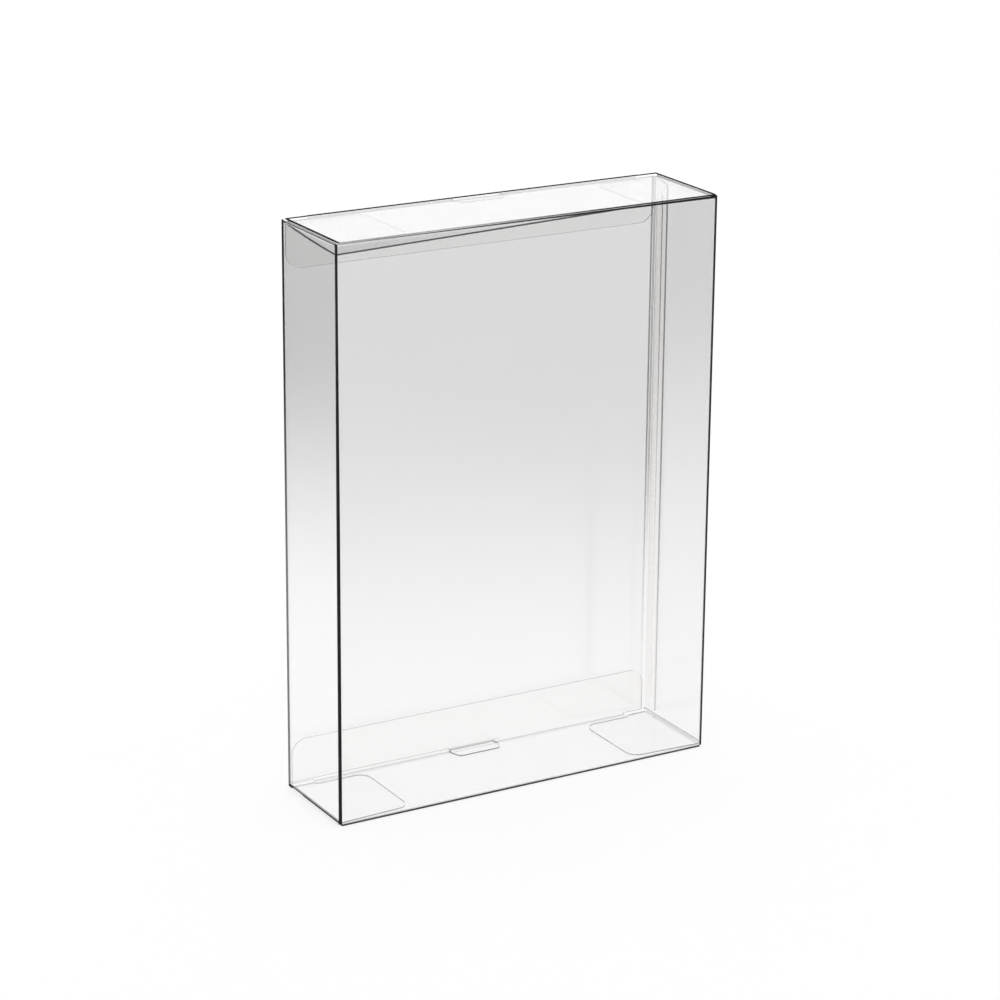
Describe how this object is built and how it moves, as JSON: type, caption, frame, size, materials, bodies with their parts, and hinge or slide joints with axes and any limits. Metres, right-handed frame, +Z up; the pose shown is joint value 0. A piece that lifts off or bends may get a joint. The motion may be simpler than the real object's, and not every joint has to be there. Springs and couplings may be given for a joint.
{
  "type": "game box protector",
  "caption": "Clear folded plastic sleeve box with tuck-in closures top and bottom, dust flaps and a glued side seam, to protect a boxed game.",
  "frame": {"origin": "middle of the underside of the closed box, on the surface it stands on", "axes": "+Z up along the height, +Y from the hinged front wall to the back wall, +X along the width to the glued right wall"},
  "size_m": [0.1298, 0.0348, 0.1798],
  "materials": {
    "clear_sheet": "clear glossy PET sheet, 0.4 mm",
    "glue": "dried clear glue, slightly yellow"
  },
  "bodies": {
    "case": {"sleeve": "clear_sheet", "glue_line": "glue"},
    "top_closure": {"top_lid": "clear_sheet"},
    "top_tuck": {"top_tuck_flap": "clear_sheet"},
    "top_lock": {"top_tongue": "clear_sheet"},
    "bottom_closure": {"bottom_lid": "clear_sheet"},
    "bottom_tuck": {"bottom_tuck_flap": "clear_sheet"},
    "bottom_lock": {"bottom_tongue": "clear_sheet"}
  },
  "joints": [
    {"name": "top_lid_hinge", "type": "hinge", "parent": "case", "child": "top_closure", "pos_m": [0, -0.0172, 0.1796], "axis": [1, 0, 0], "range_deg": [0, 120], "deforming": ["top_tongue"]},
    {"name": "top_tuck_fold", "type": "hinge", "parent": "top_closure", "child": "top_tuck", "pos_m": [0, 0.0161, 0.1794], "axis": [-1, 0, 0], "range_deg": [0, 84]},
    {"name": "top_tongue_bend", "type": "hinge", "parent": "case", "child": "top_lock", "pos_m": [0, 0.0172, 0.1785], "axis": [-1, 0, 0], "range_deg": [0, 84]},
    {"name": "bottom_lid_hinge", "type": "hinge", "parent": "case", "child": "bottom_closure", "pos_m": [0, -0.0172, 0.0002], "axis": [-1, 0, 0], "range_deg": [0, 120], "deforming": ["bottom_tongue"]},
    {"name": "bottom_tuck_fold", "type": "hinge", "parent": "bottom_closure", "child": "bottom_tuck", "pos_m": [0, 0.0161, 0.0004], "axis": [1, 0, 0], "range_deg": [0, 84]},
    {"name": "bottom_tongue_bend", "type": "hinge", "parent": "case", "child": "bottom_lock", "pos_m": [0, 0.0172, 0.0013], "axis": [1, 0, 0], "range_deg": [0, 84]}
  ],
  "couplings": [
    {"joint": "top_tuck_fold", "follows": "top_lid_hinge", "ratio": 0.7},
    {"joint": "top_tongue_bend", "follows": "top_lid_hinge", "ratio": 0.7},
    {"joint": "bottom_tuck_fold", "follows": "bottom_lid_hinge", "ratio": 0.7},
    {"joint": "bottom_tongue_bend", "follows": "bottom_lid_hinge", "ratio": 0.7}
  ]
}
